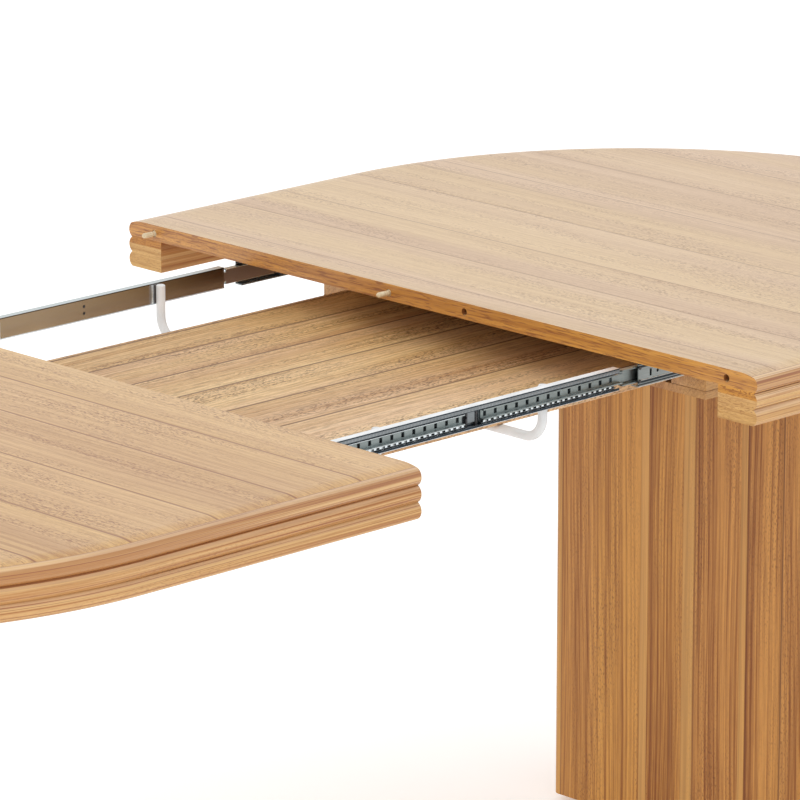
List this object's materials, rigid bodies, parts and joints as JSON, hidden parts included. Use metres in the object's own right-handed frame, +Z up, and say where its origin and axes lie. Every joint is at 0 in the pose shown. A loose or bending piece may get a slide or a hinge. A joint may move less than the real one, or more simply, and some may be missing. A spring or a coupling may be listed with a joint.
{
  "type": "extending dining table",
  "caption": "Extending dining table with round ends, a beaded rim and two box pedestals; the halves part on telescopic slides and the spare leaf is stored below.",
  "frame": {"origin": "on the floor, at the middle of the gap between the two half tops", "axes": "+Z up, +X along the table towards the right half, Y across the table"},
  "size_m": [2.229, 1, 0.75],
  "materials": {
    "oak_top": "oiled oak, satin",
    "oak_rim": "oiled oak, satin",
    "oak_upright": "oiled oak, satin",
    "oak_frame": "plain oak, satin",
    "pin_beech": "turned beech, waxed",
    "white_painted_steel": "white powder coat",
    "black_nylon": "moulded nylon",
    "black_rubber": "matt rubber",
    "ball_steel": "polished steel",
    "cage_zinc": "zinc plated, dull",
    "slide_zinc": "zinc plated, bright",
    "dark_zinc_screws": "zinc plated, dark"
  },
  "bodies": {
    "right_half": {"right_top": "oak_top", "right_rim_upper_band": "oak_rim", "right_rim_lower_band": "oak_rim", "right_locating_pins": "pin_beech", "right_channel_near": "slide_zinc", "right_channel_far": "slide_zinc", "right_channel_screws": "dark_zinc_screws", "right_buffers": "black_rubber", "right_rails": "oak_frame", "right_bearer_near": "oak_frame", "right_bearer_far": "oak_frame", "right_frame_screws": "dark_zinc_screws", "right_plate": "oak_frame", "right_pedestal_face": "oak_upright", "right_pedestal_back": "oak_upright", "right_pedestal_sides": "oak_upright", "right_pedestal_base": "oak_upright", "right_pedestal_cleats": "oak_upright", "right_pedestal_bolts": "dark_zinc_screws", "right_glides": "black_rubber"},
    "left_half": {"left_top": "oak_top", "left_rim_upper_band": "oak_rim", "left_rim_lower_band": "oak_rim", "left_locating_pins": "pin_beech", "left_channel_near": "slide_zinc", "left_channel_far": "slide_zinc", "left_channel_screws": "dark_zinc_screws", "left_buffers": "black_rubber", "left_rails": "oak_frame", "left_bearer_near": "oak_frame", "left_bearer_far": "oak_frame", "left_frame_screws": "dark_zinc_screws", "left_plate": "oak_frame", "left_pedestal_face": "oak_upright", "left_pedestal_back": "oak_upright", "left_pedestal_sides": "oak_upright", "left_pedestal_base": "oak_upright", "left_pedestal_cleats": "oak_upright", "left_pedestal_bolts": "dark_zinc_screws", "left_glides": "black_rubber"},
    "carriage": {"carrier_bar_right": "white_painted_steel", "carrier_bar_left": "white_painted_steel", "middle_channel_near": "slide_zinc", "middle_channel_far": "slide_zinc", "middle_stops": "black_nylon"},
    "right_runners": {"right_runner_near": "cage_zinc", "right_runner_far": "cage_zinc", "right_runner_shoes": "black_nylon"},
    "left_runners": {"left_runner_near": "cage_zinc", "left_runner_far": "cage_zinc", "left_runner_shoes": "black_nylon"},
    "right_cages": {"right_ball_cage_near": "cage_zinc", "right_ball_cage_far": "cage_zinc", "right_balls": "ball_steel"},
    "left_cages": {"left_ball_cage_near": "cage_zinc", "left_ball_cage_far": "cage_zinc", "left_balls": "ball_steel"},
    "leaf": {"spare_leaf": "oak_top"}
  },
  "joints": [
    {"name": "left_half_slide", "type": "slide", "parent": "right_half", "child": "left_half", "axis": [1, 0, 0], "range_m": [0, 0.4965]},
    {"name": "carriage_slide", "type": "slide", "parent": "right_half", "child": "carriage", "axis": [1, 0, 0], "range_m": [0, 0.24825]},
    {"name": "right_runner_slide", "type": "slide", "parent": "right_half", "child": "right_runners", "axis": [1, 0, 0], "range_m": [0, 0.24426]},
    {"name": "left_runner_slide", "type": "slide", "parent": "right_half", "child": "left_runners", "axis": [1, 0, 0], "range_m": [0, 0.25225]},
    {"name": "right_cage_slide", "type": "slide", "parent": "right_half", "child": "right_cages", "axis": [1, 0, 0], "range_m": [0, 0.24625]},
    {"name": "left_cage_slide", "type": "slide", "parent": "right_half", "child": "left_cages", "axis": [1, 0, 0], "range_m": [0, 0.25025]},
    {"name": "leaf_lift", "type": "slide", "parent": "carriage", "child": "leaf", "axis": [0, 0, 1], "range_m": [0, 0.03]}
  ],
  "couplings": [
    {"joint": "carriage_slide", "follows": "left_half_slide", "ratio": 0.5},
    {"joint": "right_runner_slide", "follows": "left_half_slide", "ratio": 0.49195},
    {"joint": "left_runner_slide", "follows": "left_half_slide", "ratio": 0.50805},
    {"joint": "right_cage_slide", "follows": "left_half_slide", "ratio": 0.49598},
    {"joint": "left_cage_slide", "follows": "left_half_slide", "ratio": 0.50402}
  ]
}
